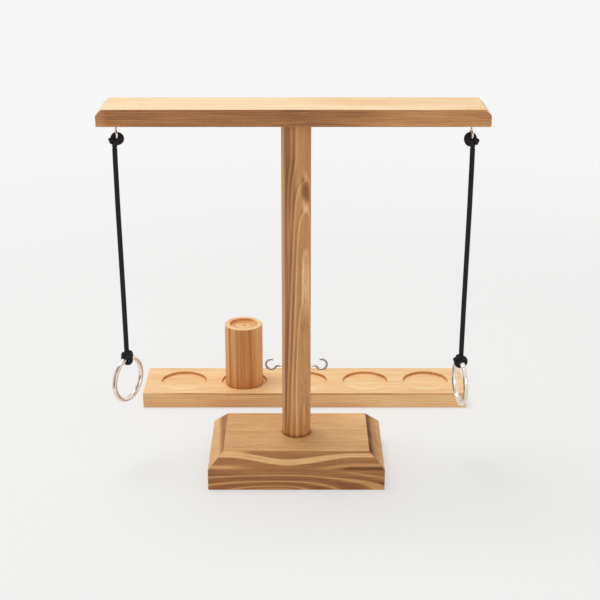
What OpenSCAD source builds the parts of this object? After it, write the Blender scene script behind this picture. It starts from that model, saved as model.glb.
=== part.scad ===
/* [Base block] */
// Width of the base, left to right
base_w = 183; // [150:1:230]
// Depth of the base, front to back
base_d = 119; // [90:1:160]
// Height of the upright band round the foot of the base
base_band_h = 23; // [12:0.5:30]
// Height of the sloped part above the band
base_slope_h = 15.5; // [10:0.5:24]
// How far the left and right slopes lean in
base_inset_x = 16; // [6:0.5:24]
// How far the front and back slopes lean in
base_inset_y = 13.3; // [6:0.1:20]

/* [Post] */
// Diameter of the round post
post_d = 30; // [24:0.5:36]
// Length of post that shows between base and beam
post_show = 337.5; // [300:0.5:380]
// Depth of the socket that the post stands in
post_socket_depth = 8; // [4:0.5:12]
// Radial room between the post and its socket
socket_clearance = 0.1; // [0.05:0.05:0.3]
// Small bevel round both ends of the post
post_end_bevel = 0.6; // [0.2:0.1:1.5]

/* [Beam] */
// Length of the cross beam
beam_l = 381; // [370:1:420]
// Depth of the beam, front to back
beam_d = 59.5; // [45:0.5:75]
// Thickness of the beam
beam_t = 17.2; // [15:0.1:22]
// How far the middle of the beam lies to the right of the post
beam_shift = -2.5; // [-5:0.5:5]
// Bevel across the top of each end
beam_end_bevel = 6; // [2:0.5:9]

/* [Ladder board] */
// Length of the board that the marker climbs
ladder_l = 381; // [370:1:420]
// Depth of the ladder board
ladder_d = 76.3; // [68:0.1:95]
// Thickness of the ladder board
ladder_t = 18.4; // [14:0.1:24]
// Clear table between the base and the ladder board
ladder_gap = 84.5; // [60:0.5:140]
// How far the board lies to the right of the post
ladder_shift = 9.5; // [-20:0.5:20]
// Number of round recesses in the board
recess_count = 5; // [3:1:5]
// Distance from one recess to the next
recess_pitch = 72.5; // [62:0.5:76]
// Diameter of a recess
recess_d = 54; // [48:0.5:60]
// Depth of a recess
recess_depth = 3; // [1.5:0.5:6]
// Small bevel along the edges of both boards
board_edge_bevel = 0.8; // [0.2:0.1:1.5]

/* [Marker] */
// Diameter of the turned marker
marker_d = 44.5; // [36:0.5:46]
// Height of the marker
marker_h = 76.5; // [50:0.5:90]
// Width of the rim round the dish in its top
marker_rim = 6.2; // [3:0.1:10]
// Depth of the dish in its top
dish_depth = 3; // [1:0.5:8]
// Small bevel on the marker's edges
marker_bevel = 1; // [0.4:0.1:2]

/* [Screw hooks] */
// Height of the hook shanks above the top of the base
hook_rise = 76.5; // [60:0.5:100]
// Diameter of the hook wire
hook_wire_d = 2.6; // [2:0.1:3]
// Radius of the hook's loop, at the middle of the wire
hook_loop_r = 5.6; // [4.8:0.1:6.5]
// Radius of the bend where the neck turns down
hook_neck_r = 2.5; // [2:0.1:4]
// Straight neck outside the post
hook_neck = 4.4; // [2:0.1:8]
// Angle that the neck turns down before the loop
hook_neck_turn = 60; // [45:1:70]
// Angle that the loop turns on past its lowest point
hook_loop_turn = 185; // [170:1:195]
// Straight tip after the loop
hook_tip = 0.8; // [0.4:0.1:2]
// Threaded length inside the post
hook_thread_l = 10; // [6:0.5:12]

/* [Screw eyes] */
// Distance of each eye from the end of the beam
eye_inset = 15.5; // [8:0.5:40]
// Diameter of the eye wire
eye_wire_d = 2.2; // [1.8:0.1:2.6]
// Inner diameter of the eye
eye_hole_d = 5.4; // [5.2:0.1:8]
// Turn of both eyes about their shanks
eye_turn = 18; // [0:1:20]
// Shank between the beam and the ring of the eye
eye_neck = 9.3; // [5:0.1:14]
// Threaded length inside the beam
eye_thread_l = 10; // [6:0.5:12]

/* [Rings] */
// Inner diameter of the throwing rings
ring_hole_d = 40; // [38:0.5:52]
// Diameter of the ring wire
ring_wire_d = 5.5; // [4:0.1:6]
// Turn of the left ring about the cord
left_ring_turn = 60; // [-90:1:90]
// Turn of the right ring about the cord
right_ring_turn = -81; // [-90:1:90]

/* [Cords and knots] */
// Diameter of the braided cord
cord_d = 4.6; // [3.6:0.1:5]
// Diameter of the cord where a knot draws it tight
knot_cord_d = 4; // [3.2:0.1:4]
// Room that the cord keeps round the metal it is tied to
knot_clearance = 0.3; // [0.25:0.05:0.5]
// Gap between the end of a cord and its knot
cord_gap = 0.3; // [0.2:0.05:0.5]
// How much longer the right cord is than the left one
right_cord_extra = 3.5; // [0:0.5:10]

/* [Screw fittings] */
// Outer diameter of the machine thread that joins post, base and beam
stud_d = 6; // [5:0.5:8]
// Length of stud inside the post
stud_wood_l = 26; // [15:1:40]
// Outer diameter of the threaded inserts
insert_d = 10; // [9.5:0.5:13]
// Length of the insert in the base
base_insert_l = 13; // [8:0.5:18]
// Length of the insert in the beam
beam_insert_l = 11; // [8:0.5:12]
// Width of the driving slot across an insert
insert_slot_w = 1.2; // [0.8:0.1:2]
// Depth of the driving slot across an insert
insert_slot_depth = 2; // [1:0.5:3]
// Radial room round every thread
thread_clearance = 0.05; // [0.03:0.01:0.1]

/* [Hidden] */
$fn = 96;
WIRE_SIDES = 48;
LEFT = -1;
RIGHT = 1;

base_h = base_band_h + base_slope_h;
socket_floor_z = base_h - post_socket_depth;
beam_z = base_h + post_show;
hook_z = base_h + hook_rise;

// Threads: pitch, and depth from crest to root
MACHINE_PITCH = 1;
MACHINE_DEPTH = 0.55;
WOOD_PITCH = 2.5;
WOOD_DEPTH = 1;
SMALL_PITCH = 1.2;
SMALL_DEPTH = 0.35;
CORE_LAP = 0.5;
BEND_BEAD = 0.04;
BLIND_ROOM = 1;
stud_hole_d = stud_d + 2 * thread_clearance;
insert_hole_d = insert_d + 2 * thread_clearance;
INSERT_RIDGE = 0.5;

// Place of one eye along the beam
function eye_x(side) = beam_shift + side * (beam_l / 2 - eye_inset);

// Height of the wire at the bottom of the eyes, which the cords hang from
eye_ring_r = (eye_hole_d + eye_wire_d) / 2;
eye_ring_z = beam_z - eye_neck - eye_hole_d / 2 - eye_wire_d;
eye_foot_z = eye_ring_z - eye_ring_r;

// Top knot: a loop over the eye's wire, two turns beside it, and the rounded bend below
LOOP_SLACK = 0.5;
top_loop_r = eye_wire_d / 2 + knot_clearance + knot_cord_d / 2 + LOOP_SLACK;
TOP_TURN_D = 3.1;
top_turn_r = 1.65;
top_turn_x = top_loop_r - LOOP_SLACK + top_turn_r;
TOP_TURNS = [-1.2, -3.7];
TOP_NECK_DROP = 3;
TOP_BEND_DROP = 8;

// Cord route: outward from the eye, and down from its lowest wire
CORD_ROUTE = [[2.1, 10.6], [2.1, 16], [2.1, 26], [2, 40], [1.9, 55], [1.8, 70], [1.6, 85],
    [1.4, 100], [1.2, 115], [1, 130], [0.8, 145], [0.6, 160], [0.4, 175], [0.3, 190],
    [0.15, 203], [0.05, 214], [0, 226.4]];
LAST = len(CORD_ROUTE) - 1;
CORD_SIDES = 12;

// How far down the eye's foot a point of one side's cord lies
function cord_drop(side, p) = p[1] + (side == RIGHT ? right_cord_extra : 0)
    * (p[1] - CORD_ROUTE[0][1]) / (CORD_ROUTE[LAST][1] - CORD_ROUTE[0][1]);
function cord_end_z(side) = eye_foot_z - cord_drop(side, CORD_ROUTE[LAST]);

// Bottom knot: a loop round the ring's wire and one turn round the cord above it
KNOT_NECK = 3.5;
KNOT_LAP = 0.7;
ring_loop_r = ring_wire_d / 2 + knot_clearance + knot_cord_d / 2;
ring_r = (ring_hole_d + ring_wire_d) / 2;
function ring_top_z(side) = cord_end_z(side) - cord_gap - KNOT_NECK - ring_loop_r;
ring_turn_r = knot_cord_d;

ladder_y = base_d / 2 + ladder_gap + ladder_d / 2;
recess_floor_z = ladder_t - recess_depth;
MARKER_INDEX = 2;

// Middle of one recess, counted from the left
function recess_x(i) = ladder_shift + (i - (recess_count + 1) / 2) * recess_pitch;

// Points of one side of a ringed thread, from z0 up to z1
function thread_side(crest_r, depth, pitch, z0, z1) = let (n = floor((z1 - z0) / pitch))
    [for (i = [0 : n - 1]) each [[crest_r - depth, z0 + i * pitch],
        [crest_r, z0 + (i + 0.5) * pitch]], [crest_r - depth, z1]];

// Round bar with ringed thread from z0 to z1, its core running on by core_l at both ends
module threaded_bar(crest_r, depth, pitch, z0, z1, core_l = 0)
    rotate_extrude($fn = WIRE_SIDES)
        polygon(concat([[0, z0 - core_l], [crest_r - depth, z0 - core_l]],
            thread_side(crest_r, depth, pitch, z0, z1),
            [[crest_r - depth, z1 + core_l], [0, z1 + core_l]]));

// Round bar with both end edges bevelled
module bevelled_bar(d, h, bevel)
    rotate_extrude()
        polygon([[0, 0], [d / 2 - bevel, 0], [d / 2, bevel], [d / 2, h - bevel],
            [d / 2 - bevel, h], [0, h]]);

// Rectangle with its corners cut off by small bevels
module bevelled_rect(w, h, bevel)
    polygon([[-w / 2 + bevel, 0], [w / 2 - bevel, 0], [w / 2, bevel], [w / 2, h - bevel],
        [w / 2 - bevel, h], [-w / 2 + bevel, h], [-w / 2, h - bevel], [-w / 2, bevel]]);

// Board lying flat, middle of its underside at the origin; end_bevel cuts its top at both ends
module board(l, d, t, end_bevel, edge_bevel)
    intersection() {
        rotate([90, 0, 0])
            linear_extrude(d, center = true)
                polygon([[-l / 2 + edge_bevel, 0], [l / 2 - edge_bevel, 0], [l / 2, edge_bevel],
                    [l / 2, t - end_bevel], [l / 2 - end_bevel, t], [-l / 2 + end_bevel, t],
                    [-l / 2, t - end_bevel], [-l / 2, edge_bevel]]);
        rotate([90, 0, 90])
            linear_extrude(l, center = true)
                bevelled_rect(d, t, edge_bevel);
    }

// Bent wire in the XZ plane: part of a circle about the local origin
module wire_arc(bend_r, wire_d, from, turn)
    rotate([90, 0, 0])
        rotate([0, 0, from])
            rotate_extrude(angle = turn)
                translate([bend_r, 0])
                    circle(d = wire_d, $fn = WIRE_SIDES);

// Straight wire from the local origin along +X
module wire_run(l, wire_d)
    rotate([0, 90, 0])
        cylinder(d = wire_d, h = l, $fn = WIRE_SIDES);

// Closed ring of wire about the local Z axis
module wire_ring(ring_radius, wire_d)
    rotate_extrude()
        translate([ring_radius, 0])
            circle(d = wire_d, $fn = WIRE_SIDES);

module base()
    color("burlywood")
        difference() {
            intersection() {
                rotate([90, 0, 0])
                    linear_extrude(base_d, center = true)
                        polygon([[-base_w / 2, 0], [base_w / 2, 0], [base_w / 2, base_band_h],
                            [base_w / 2 - base_inset_x, base_h],
                            [-base_w / 2 + base_inset_x, base_h], [-base_w / 2, base_band_h]]);
                rotate([90, 0, 90])
                    linear_extrude(base_w, center = true)
                        polygon([[-base_d / 2, 0], [base_d / 2, 0], [base_d / 2, base_band_h],
                            [base_d / 2 - base_inset_y, base_h],
                            [-base_d / 2 + base_inset_y, base_h], [-base_d / 2, base_band_h]]);
            }
            translate([0, 0, socket_floor_z])
                cylinder(d = post_d + 2 * socket_clearance, h = base_h);
            translate([0, 0, socket_floor_z - base_insert_l])
                cylinder(d = insert_hole_d, h = base_h);
        }

module post()
    color("peru")
        difference() {
            translate([0, 0, socket_floor_z])
                bevelled_bar(post_d, beam_z - socket_floor_z, post_end_bevel);
            translate([0, 0, socket_floor_z - BLIND_ROOM])
                cylinder(d = stud_hole_d, h = stud_wood_l + 2 * BLIND_ROOM);
            translate([0, 0, beam_z - stud_wood_l - BLIND_ROOM])
                cylinder(d = stud_hole_d, h = stud_wood_l + 2 * BLIND_ROOM);
            for (side = [LEFT, RIGHT])
                translate([0, 0, hook_z])
                    rotate([0, side * 90, 0])
                        translate([0, 0, post_d / 2 - hook_thread_l - BLIND_ROOM])
                            cylinder(d = hook_wire_d + 2 * thread_clearance, h = post_d);
        }

module beam()
    color("tan")
        difference() {
            translate([beam_shift, 0, beam_z])
                board(beam_l, beam_d, beam_t, beam_end_bevel, board_edge_bevel);
            translate([0, 0, beam_z - BLIND_ROOM])
                cylinder(d = insert_hole_d, h = beam_insert_l + BLIND_ROOM);
            for (side = [LEFT, RIGHT])
                translate([eye_x(side), 0, beam_z - BLIND_ROOM])
                    cylinder(d = eye_wire_d + 2 * thread_clearance,
                        h = eye_thread_l + 2 * BLIND_ROOM);
        }

// Threaded insert with its slotted end at z = 0 and its body below
module threaded_insert(l)
    difference() {
        rotate_extrude()
            polygon(concat([[0, -l]], thread_side(insert_d / 2, INSERT_RIDGE, 2, -l, 0), [[0, 0]]));
        translate([0, 0, -l - BLIND_ROOM])
            cylinder(d = stud_hole_d, h = l + 2 * BLIND_ROOM);
        translate([-insert_d, -insert_slot_w / 2, -insert_slot_depth])
            cube([2 * insert_d, insert_slot_w, 2 * insert_slot_depth]);
    }

// Double-ended stud: wood thread above z = 0, machine thread below
module stud(machine_l)
    union() {
        threaded_bar(stud_d / 2, MACHINE_DEPTH, MACHINE_PITCH, -machine_l, 0);
        threaded_bar(stud_d / 2, WOOD_DEPTH, WOOD_PITCH, 0, stud_wood_l);
    }

module base_insert()
    color("goldenrod")
        translate([0, 0, socket_floor_z])
            threaded_insert(base_insert_l);

module lower_stud()
    color("silver")
        translate([0, 0, socket_floor_z])
            stud(base_insert_l - BLIND_ROOM);

module beam_insert()
    color("goldenrod")
        translate([0, 0, beam_z])
            rotate([180, 0, 0])
                threaded_insert(beam_insert_l);

module upper_stud()
    color("silver")
        translate([0, 0, beam_z])
            rotate([180, 0, 0])
                stud(beam_insert_l - BLIND_ROOM);

// Screw hook with its shank along +X: neck, bend down, round loop and blunt tip
module screw_hook() {
    bend_x = post_d / 2 + hook_neck;
    slope_x = bend_x + hook_neck_r * sin(hook_neck_turn);
    slope_z = hook_neck_r * (cos(hook_neck_turn) - 1);
    loop_x = slope_x + hook_loop_r * sin(hook_neck_turn);
    loop_z = slope_z + hook_loop_r * cos(hook_neck_turn);
    tip_turn = hook_loop_turn - 90;
    union() {
        translate([post_d / 2 - hook_thread_l, 0, 0])
            rotate([0, 90, 0])
                threaded_bar(hook_wire_d / 2, SMALL_DEPTH, SMALL_PITCH, 0, hook_thread_l, CORE_LAP);
        translate([post_d / 2, 0, 0])
            wire_run(hook_neck, hook_wire_d);
        translate([bend_x, 0, -hook_neck_r])
            wire_arc(hook_neck_r, hook_wire_d, 90 - hook_neck_turn, hook_neck_turn);
        translate([slope_x, 0, slope_z])
            sphere(d = hook_wire_d + BEND_BEAD, $fn = WIRE_SIDES);
        translate([loop_x, 0, loop_z]) {
            wire_arc(hook_loop_r, hook_wire_d, -90 - hook_neck_turn,
                hook_neck_turn + hook_loop_turn);
            rotate([0, -tip_turn, 0])
                translate([hook_loop_r, 0, 0]) {
                    sphere(d = hook_wire_d + BEND_BEAD, $fn = WIRE_SIDES);
                    cylinder(d = hook_wire_d, h = hook_tip, $fn = WIRE_SIDES);
                    translate([0, 0, hook_tip])
                        sphere(d = hook_wire_d, $fn = WIRE_SIDES);
                }
        }
    }
}

module left_hook()
    color("lightgray")
        translate([0, 0, hook_z])
            mirror([1, 0, 0])
                screw_hook();

module right_hook()
    color("lightgray")
        translate([0, 0, hook_z])
            screw_hook();

// Screw eye on one side of the beam, its ring facing along the beam
module screw_eye(side)
    translate([eye_x(side), 0, beam_z])
        union() {
            threaded_bar(eye_wire_d / 2, SMALL_DEPTH, SMALL_PITCH, 0, eye_thread_l, CORE_LAP);
            translate([0, 0, -eye_neck - eye_wire_d / 2])
                cylinder(d = eye_wire_d, h = eye_neck + eye_wire_d / 2, $fn = WIRE_SIDES);
            translate([0, 0, eye_ring_z - beam_z])
                rotate([0, 90, eye_turn])
                    wire_ring(eye_ring_r, eye_wire_d);
        }

module left_eye()
    color("lightgray")
        screw_eye(LEFT);

module right_eye()
    color("lightgray")
        screw_eye(RIGHT);

// Loop over the eye's wire, two turns beside it, and the rounded bend below
module top_knot(side)
    translate([eye_x(side), 0, eye_foot_z])
        union() {
            translate([-side * LOOP_SLACK, 0, 0])
                rotate([90, 0, 0])
                    wire_ring(top_loop_r, knot_cord_d);
            for (z = TOP_TURNS)
                translate([side * top_turn_x, 0, z])
                    wire_ring(top_turn_r, TOP_TURN_D);
            translate([side * CORD_ROUTE[0][0], 0, -TOP_BEND_DROP])
                cylinder(d = knot_cord_d, h = TOP_BEND_DROP - TOP_NECK_DROP, $fn = WIRE_SIDES);
            translate([side * CORD_ROUTE[0][0], 0, -TOP_BEND_DROP])
                sphere(d = cord_d, $fn = WIRE_SIDES);
        }

module left_top_knot()
    color("dimgray")
        top_knot(LEFT);

module right_top_knot()
    color("dimgray")
        top_knot(RIGHT);

function cord_point(side, p) = [eye_x(side) + side * p[0], 0, eye_foot_z - cord_drop(side, p)];

// Tube along the cord's route, with flat ends square to the Z axis
module cord(side) {
    rings = len(CORD_ROUTE);
    points = [for (p = CORD_ROUTE) for (i = [0 : CORD_SIDES - 1])
        cord_point(side, p) + cord_d / 2 * [cos(i * 360 / CORD_SIDES), sin(i * 360 / CORD_SIDES), 0]];
    walls = [for (k = [0 : rings - 2]) for (i = [0 : CORD_SIDES - 1])
        let (j = (i + 1) % CORD_SIDES, a = k * CORD_SIDES)
            [a + i, a + j, a + CORD_SIDES + j, a + CORD_SIDES + i]];
    top = [for (i = [CORD_SIDES - 1 : -1 : 0]) i];
    bottom = [for (i = [0 : CORD_SIDES - 1]) (rings - 1) * CORD_SIDES + i];
    polyhedron(points, concat([top], walls, [bottom]));
}

module left_cord()
    color("dimgray")
        cord(LEFT);

module right_cord()
    color("dimgray")
        cord(RIGHT);

// Loop round the ring's wire, one turn round the cord, and the neck up to the cord
module bottom_knot(side, ring_turn)
    translate([eye_x(side), 0, ring_top_z(side)])
        union() {
            rotate([90, 0, ring_turn + 90])
                wire_ring(ring_loop_r, knot_cord_d);
            translate([0, 0, ring_loop_r + knot_cord_d * 0.1])
                wire_ring(ring_turn_r, knot_cord_d);
            translate([0, 0, ring_loop_r - KNOT_LAP])
                cylinder(d = cord_d, h = KNOT_NECK + KNOT_LAP, $fn = WIRE_SIDES);
        }

module left_bottom_knot()
    color("dimgray")
        bottom_knot(LEFT, left_ring_turn);

module right_bottom_knot()
    color("dimgray")
        bottom_knot(RIGHT, right_ring_turn);

// Ring hanging on edge below its knot
module throwing_ring(side, ring_turn)
    translate([eye_x(side), 0, ring_top_z(side) - ring_r])
        rotate([90, 0, ring_turn])
            wire_ring(ring_r, ring_wire_d);

module left_ring()
    color("lightgray")
        throwing_ring(LEFT, left_ring_turn);

module right_ring()
    color("lightgray")
        throwing_ring(RIGHT, right_ring_turn);

module ladder()
    color("wheat")
        difference() {
            translate([ladder_shift, ladder_y, 0])
                board(ladder_l, ladder_d, ladder_t, board_edge_bevel, board_edge_bevel);
            for (i = [1 : recess_count])
                translate([recess_x(i), ladder_y, recess_floor_z])
                    cylinder(d = recess_d, h = ladder_t);
        }

module marker()
    color("sienna")
        translate([recess_x(MARKER_INDEX), ladder_y, recess_floor_z])
            difference() {
                bevelled_bar(marker_d, marker_h, marker_bevel);
                translate([0, 0, marker_h - dish_depth])
                    cylinder(d = marker_d - 2 * marker_rim, h = marker_h);
            }

base();
post();
beam();
base_insert();
lower_stud();
beam_insert();
upper_stud();
left_hook();
right_hook();
left_eye();
right_eye();
left_top_knot();
right_top_knot();
left_cord();
right_cord();
left_bottom_knot();
right_bottom_knot();
left_ring();
right_ring();
ladder();
marker();
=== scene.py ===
import math

import bmesh
import bpy
import numpy as np
from mathutils import Matrix, Vector, noise


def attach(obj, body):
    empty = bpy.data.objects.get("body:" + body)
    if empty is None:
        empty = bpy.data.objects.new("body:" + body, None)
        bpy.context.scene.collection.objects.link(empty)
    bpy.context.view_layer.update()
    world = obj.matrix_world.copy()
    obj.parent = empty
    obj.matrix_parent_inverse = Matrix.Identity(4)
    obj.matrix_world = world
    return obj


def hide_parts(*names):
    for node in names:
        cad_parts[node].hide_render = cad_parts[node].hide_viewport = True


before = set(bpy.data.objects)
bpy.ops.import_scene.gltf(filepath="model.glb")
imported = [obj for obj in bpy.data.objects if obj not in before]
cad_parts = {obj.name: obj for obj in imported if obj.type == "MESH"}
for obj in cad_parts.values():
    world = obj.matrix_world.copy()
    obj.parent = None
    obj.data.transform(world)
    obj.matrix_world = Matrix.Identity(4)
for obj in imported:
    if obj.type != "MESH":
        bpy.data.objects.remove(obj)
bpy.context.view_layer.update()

MM = 0.001
LEFT = -1
RIGHT = 1
SIDE_NAMES = {LEFT: "left", RIGHT: "right"}

# Camera, at the photograph's height and distance, tilted down by an angle in degrees
CAMERA_PLACE = (0.0038, -1.2930, 0.6628)
CAMERA_DOWN = 20.158
CAMERA_LENS, CAMERA_SENSOR = 80.16, 36

camera_data = bpy.data.cameras.new("photo_camera")
camera_data.lens = CAMERA_LENS
camera_data.sensor_width = CAMERA_SENSOR
camera = bpy.data.objects.new("photo_camera", camera_data)
camera.location = CAMERA_PLACE
camera.rotation_euler = (math.radians(90 - CAMERA_DOWN), 0, 0)
bpy.context.scene.collection.objects.link(camera)
bpy.context.scene.camera = camera


# Shader maths
class Socket:
    """One number, colour or vector among nodes, so that shader maths reads as Python."""

    def __init__(self, nodes, link):
        self.nodes = nodes
        self.link = link

    def other(self, name):
        """Another output of the same node."""
        return Socket(self.nodes, self.link.node.outputs[name])

    def __add__(self, other):
        return self.nodes.math("ADD", self, other)

    def __sub__(self, other):
        return self.nodes.math("SUBTRACT", self, other)

    def __rsub__(self, other):
        return self.nodes.math("SUBTRACT", other, self)

    def __mul__(self, other):
        return self.nodes.math("MULTIPLY", self, other)

    def __truediv__(self, other):
        return self.nodes.math("DIVIDE", self, other)

    def __rtruediv__(self, other):
        return self.nodes.math("DIVIDE", other, self)

    def __abs__(self):
        return self.nodes.math("ABSOLUTE", self)

    __radd__ = __add__
    __rmul__ = __mul__


class Nodes:
    """The nodes of a material or of the world."""

    def __init__(self, tree):
        self.tree = tree

    def node(self, kind, settings=None, inputs=None, output=0):
        made = self.tree.nodes.new(kind)
        for key, value in (settings or {}).items():
            if key == "stops":
                elements = made.color_ramp.elements
                while len(elements) < len(value):
                    elements.new(1.0)
                for element, (position, colour) in zip(elements, value):
                    element.position = position
                    element.color = colour
            else:
                setattr(made, key, value)
        for key, value in (inputs or {}).items():
            self.join(made.inputs[key], value)
        return Socket(self, made.outputs[output])

    def join(self, socket, value):
        """Links a socket to what varies, or sets it to a value."""
        if isinstance(value, Socket):
            self.tree.links.new(value.link, socket)
        else:
            socket.default_value = value

    def math(self, operation, *values):
        return self.node("ShaderNodeMath", {"operation": operation}, dict(enumerate(values)))

    def background_rays(self):
        """1 for a ray from the camera, off metal or through glass, which sees the pale background."""
        rays = self.node("ShaderNodeLightPath", output="Is Camera Ray")
        mirrored = self.math("MAXIMUM", rays.other("Is Glossy Ray"), rays.other("Is Transmission Ray"))
        return self.math("MAXIMUM", rays, mirrored)


class Paint(Nodes):
    """A material in the making; x, y and z are the place on the piece in millimetres."""

    def __init__(self, name):
        self.material = bpy.data.materials.new(name)
        self.material.use_nodes = True
        super().__init__(self.material.node_tree)
        self.shader = self.tree.nodes["Principled BSDF"]
        place = self.node("ShaderNodeTexCoord", output="Object")
        parts = self.node("ShaderNodeSeparateXYZ", {}, {0: place})
        self.x = parts * 1000
        self.y = parts.other("Y") * 1000
        self.z = parts.other("Z") * 1000

    def fade(self, value, start, end):
        """0 before start and 1 after end, with a smooth step between them."""
        return self.node("ShaderNodeMapRange", {"interpolation_type": "SMOOTHSTEP"},
                         {"Value": value, "From Min": start, "From Max": end})

    def stripe(self, value, middle, half, soft):
        """1 within half of the middle and 0 outside, over soft edges."""
        return 1 - self.fade(abs(value - middle), half - soft, half + soft)

    def reach(self, a, b):
        """Distance from the origin of a and b."""
        return self.math("SQRT", a * a + b * b)

    def cloud(self, x, y, z, detail=2.0):
        """Soft noise about 0, from about -1 to 1, in the units of x, y and z."""
        place = self.node("ShaderNodeCombineXYZ", {}, {0: x, 1: y, 2: z})
        return self.node("ShaderNodeTexNoise", {"noise_dimensions": "3D"},
                         {"Vector": place, "Scale": 1.0, "Detail": detail}) * 4 - 2

    def shades(self, value, stops):
        """The colour of a number from 0 to 1; stops are (number, colour)."""
        return self.node("ShaderNodeValToRGB", {"stops": stops}, {0: value})

    def finish(self, colour, roughness, height=None, relief=0.1, **fixed):
        """Sets the shader's sockets, by a link where they vary; relief is in millimetres."""
        self.join(self.shader.inputs["Base Color"], colour)
        self.join(self.shader.inputs["Roughness"], roughness)
        if height is not None:
            bump = self.node("ShaderNodeBump", {},
                             {"Strength": 1.0, "Distance": relief * MM, "Height": height})
            self.join(self.shader.inputs["Normal"], bump)
        for name, value in fixed.items():
            socket = name.replace("_", " ").title().replace("Ior", "IOR")
            self.shader.inputs[socket].default_value = value
        return self.material


def rgb(red, green, blue):
    """A colour from its values on the 0 to 255 scale."""
    def linear(value):
        value = value / 255
        return value / 12.92 if value <= 0.04045 else ((value + 0.055) / 1.055) ** 2.4
    return (linear(red), linear(green), linear(blue), 1.0)


# Pieces
def put(obj, body, node):
    """Places a finished piece on its body and hides the solid that it stands for."""
    bpy.context.scene.collection.objects.link(obj)
    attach(obj, body)
    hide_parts(node)
    return obj


def lengths(line):
    """How far along a line each of its points lies."""
    return np.concatenate([[0], np.cumsum(np.linalg.norm(np.diff(line, axis=0), axis=1))])


def arc(centre, radius, start, end, steps):
    """Points of an arc, each (out, up), its angles in degrees from outward towards up."""
    return [(centre[0] + radius * math.cos(a), centre[1] + radius * math.sin(a))
            for a in np.radians(np.linspace(start, end, steps))]


def smooth(path, spacing):
    """Points at an even spacing along a rounded line through the points of a path."""
    points = [Vector(p) for p in path]
    points = [2 * points[0] - points[1]] + points + [2 * points[-1] - points[-2]]
    line = []
    for a, b, c, d in zip(points, points[1:], points[2:], points[3:]):
        for t in np.linspace(0, 1, 24, endpoint=False):
            line.append(0.5 * (2 * b + (c - a) * t + (2 * a - 5 * b + 4 * c - d) * t * t
                               + (3 * b - a - 3 * c + d) * t ** 3))
    line.append(points[-2])
    line = np.array(line)
    along = lengths(line)
    at = np.linspace(0, along[-1], max(4, round(along[-1] / spacing) + 1))
    return np.stack([np.interp(at, along, line[:, k]) for k in range(3)], axis=1)


def sweep(name, line, radius, sides, relief=None, depth=0.0, round_ends=0.0):
    """Round bar along a line in millimetres, from one grid; relief cuts up to depth into it."""
    line = np.array(line, float)
    ahead = np.gradient(line, axis=0)
    ahead /= np.linalg.norm(ahead, axis=1)[:, None]
    across = np.cross(ahead[0], (0, 1, 0) if abs(ahead[0][1]) < 0.9 else (1, 0, 0))
    first = []
    for direction in ahead:
        across = across - direction * (across @ direction)
        across /= np.linalg.norm(across)
        first.append(across)
    first = np.array(first)
    second = np.cross(ahead, first)
    along = lengths(line)
    rings = len(line)
    bm = bmesh.new()
    uv = bm.loops.layers.uv.new("UVMap")
    grown = bm.verts.layers.float.new("relief")
    bmesh.ops.create_grid(bm, x_segments=rings - 1, y_segments=sides, size=0.5)
    for face in bm.faces:
        for loop in face.loops:
            loop[uv].uv = ((loop.vert.co.x + 0.5) * along[-1] * MM, loop.vert.co.y + 0.5)
    for vert in bm.verts:
        ring = round((vert.co.x + 0.5) * (rings - 1))
        angle = (vert.co.y + 0.5) * math.tau
        size = radius(along[ring]) if callable(radius) else radius
        left = min(along[ring], along[-1] - along[ring])
        if left < round_ends:
            size = size * math.sqrt(max(0.0, 1 - (1 - left / round_ends) ** 2)) + 1e-4
        if relief:
            height = float(relief(np.array(angle), np.array(along[ring])))
            vert[grown] = height
            # The relief grows shallow towards a pointed end
            size -= depth * (1 - height) * min(1.0, size / 1.5)
        spoke = first[ring] * math.cos(angle) + second[ring] * math.sin(angle)
        vert.co = Vector(line[ring] + spoke * size) * MM
    bmesh.ops.remove_doubles(bm, verts=bm.verts[:], dist=1e-7)
    bmesh.ops.holes_fill(bm, edges=[e for e in bm.edges if e.is_boundary], sides=0)
    bmesh.ops.recalc_face_normals(bm, faces=bm.faces[:])
    mesh = bpy.data.meshes.new(name)
    bm.to_mesh(mesh)
    bm.free()
    mesh.shade_smooth()
    return bpy.data.objects.new(name, mesh)


def joined(name, pieces):
    """One object from several, as their meshes lie."""
    bm = bmesh.new()
    for obj in pieces:
        bm.from_mesh(obj.data)
    mesh = bpy.data.meshes.new(name)
    bm.to_mesh(mesh)
    bm.free()
    for obj in pieces:
        bpy.data.meshes.remove(obj.data)
    mesh.shade_smooth()
    return bpy.data.objects.new(name, mesh)


# Sizes and places that the solids give, in millimetres and degrees
BASE_W, BASE_D, BAND_H, BASE_H = 183, 119, 23, 38.5
INSET_X, INSET_Y, BASE_EDGE = 16, 13.3, 0.7
POST_R, SOCKET_FLOOR, SOCKET_ROOM, POST_BEVEL = 15, 30.5, 0.1, 0.6
BEAM_L, BEAM_D, BEAM_T, BEAM_Z, BEAM_X, BEAM_END = 381, 59.5, 17.2, 376, -2.5, 6
LADDER_L, LADDER_D, LADDER_T, LADDER_X, LADDER_Y = 381, 76.3, 18.4, 9.5, 182.15
BOARD_EDGE = 0.8
RECESS_R, RECESS_FLOOR, RECESS_PITCH = 27, 15.4, 72.5
MARKER_R, MARKER_H, MARKER_X, DISH_R, DISH_DEPTH = 22.25, 76.5, -63, 16.05, 3
STUD_BORE_R, STUD_WOOD_L, INSERT_BORE_R, WIRE_ROOM = 3.05, 26, 5.05, 0.05
BASE_INSERT_L, BEAM_INSERT_L = 13, 11
HOOK_Z, HOOK_WIRE, HOOK_NECK, HOOK_NECK_R, HOOK_NECK_TURN = 115, 2.6, 4.4, 2.5, 60
HOOK_LOOP_R, HOOK_LOOP_TURN = 5.6, 185
SCREW_L, THREAD_L, THREAD_PITCH, THREAD_DEPTH = 10, 9.6, 1.2, 0.35
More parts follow.
